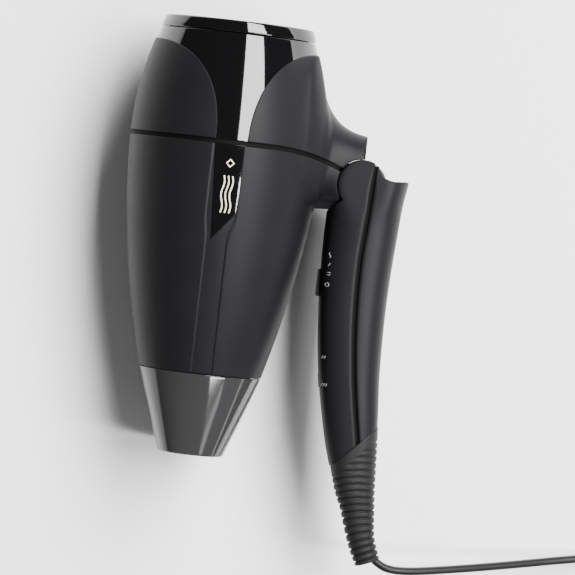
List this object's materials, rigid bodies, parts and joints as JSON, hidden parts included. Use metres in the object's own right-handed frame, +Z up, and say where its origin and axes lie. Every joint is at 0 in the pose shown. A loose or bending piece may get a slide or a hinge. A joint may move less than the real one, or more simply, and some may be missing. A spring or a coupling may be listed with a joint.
{
  "type": "travel hair dryer",
  "caption": "Folding travel hair dryer with a concentrator nozzle, gloss rear end, ribbed bend relief and a coiled mains flex.",
  "frame": {"origin": "under the middle of the dryer without its flex, on the surface that it lies on", "axes": "+Y along the barrel towards the air inlet, +X from the barrel to the folded handle, +Z up along the fold axis, out of the side that carries the label"},
  "size_m": [0.3521, 0.2396, 0.0793],
  "materials": {
    "soft_touch_charcoal": "soft-touch matte coat",
    "gloss_black": "polished",
    "nozzle_gloss": "polished, heat resistant",
    "trim_black": "satin moulded",
    "filter_mesh": "fine woven mesh",
    "heat_nylon": "glass-filled, matte",
    "fan_plastic": "satin moulded",
    "mica": "layered sheet",
    "heating_wire": "oxidised resistance wire",
    "steel": "zinc plated",
    "bronze": "sintered",
    "sleeve_rubber": "matte",
    "boot_rubber": "satin moulded",
    "flex_pvc": "smooth satin",
    "tie_fabric": "hook-and-loop",
    "plug_black": "satin moulded",
    "nickel_brass": "nickel plated",
    "circuit_board": "solder mask",
    "component_dark": "epoxy",
    "component_yellow": "film capacitor case",
    "wire_insulation": "silicone"
  },
  "bodies": {
    "barrel": {"front_shell": "soft_touch_charcoal", "rear_shell": "gloss_black", "petal_cover_upper": "soft_touch_charcoal", "petal_cover_neck": "soft_touch_charcoal", "groove_trim": "trim_black", "label_panel_left": "gloss_black", "label_panel_right": "gloss_black", "fan_guard": "trim_black", "outlet_grille": "heat_nylon", "heat_shield": "mica", "mica_board_long": "mica", "mica_board_cross": "mica", "heating_coils": "heating_wire", "thermostat": "steel", "thermal_fuse": "component_dark", "motor_carrier": "heat_nylon", "motor_can": "steel", "motor_end_cap": "heat_nylon", "motor_bush_front": "bronze", "motor_bush_rear": "bronze", "motor_sleeve": "sleeve_rubber", "rectifier_board": "circuit_board", "rectifier_diodes": "component_dark", "barrel_wiring": "wire_insulation", "carrier_screws": "steel", "hinge_knuckle": "heat_nylon", "detent_ball": "steel", "detent_spring": "steel", "hinge_washers": "steel"},
    "handle": {"handle_inner_half": "soft_touch_charcoal", "handle_outer_half": "soft_touch_charcoal", "handle_seam_strip": "trim_black", "hinge_pins": "steel", "switch_body": "heat_nylon", "voltage_body": "heat_nylon", "control_board": "circuit_board", "suppression_capacitor": "component_yellow", "choke": "component_dark", "terminal_block": "heat_nylon", "cord_clamp": "heat_nylon", "clamp_screws": "steel", "handle_screws": "steel", "handle_wiring": "wire_insulation", "bend_relief_boot": "boot_rubber", "cord_tube": "flex_pvc", "cord_coil": "flex_pvc", "cord_tail": "flex_pvc", "cord_tie": "tie_fabric", "plug_body": "plug_black", "plug_pins": "nickel_brass"},
    "rear_cap": {"rear_cap_ring": "gloss_black", "inlet_grille": "trim_black", "lint_filter": "filter_mesh"},
    "rotor": {"motor_rotor": "steel", "fan_impeller": "fan_plastic"},
    "nozzle_ring": {"nozzle_retaining_ring": "heat_nylon"},
    "nozzle": {"nozzle": "nozzle_gloss"},
    "power_switch": {"switch_knob": "trim_black"},
    "voltage_selector": {"voltage_knob": "trim_black"}
  },
  "joints": [
    {"name": "handle_fold", "type": "hinge", "parent": "barrel", "child": "handle", "pos_m": [0.03598, 0.04763, 0.03963], "axis": [0, 0, 1], "range_deg": [0, 80]},
    {"name": "rear_cap_pull", "type": "slide", "parent": "barrel", "child": "rear_cap", "axis": [0, 1, 0], "range_m": [0, 0.012]},
    {"name": "fan_spin", "type": "hinge", "parent": "barrel", "child": "rotor", "pos_m": [-0.02127, 0.07903, 0.03963], "axis": [0, 1, 0], "continuous": true},
    {"name": "nozzle_turn", "type": "hinge", "parent": "barrel", "child": "nozzle_ring", "pos_m": [-0.02127, -0.03997, 0.03963], "axis": [0, 1, 0], "continuous": true},
    {"name": "nozzle_pull", "type": "slide", "parent": "nozzle_ring", "child": "nozzle", "axis": [0, -1, 0], "range_m": [0, 0.02]},
    {"name": "power_switch_slide", "type": "slide", "parent": "handle", "child": "power_switch", "axis": [0, 1, 0], "range_m": [0, 0.0102]},
    {"name": "voltage_selector_slide", "type": "slide", "parent": "handle", "child": "voltage_selector", "axis": [-0.1478, 0.989, 0], "range_m": [0, 0.005]}
  ]
}
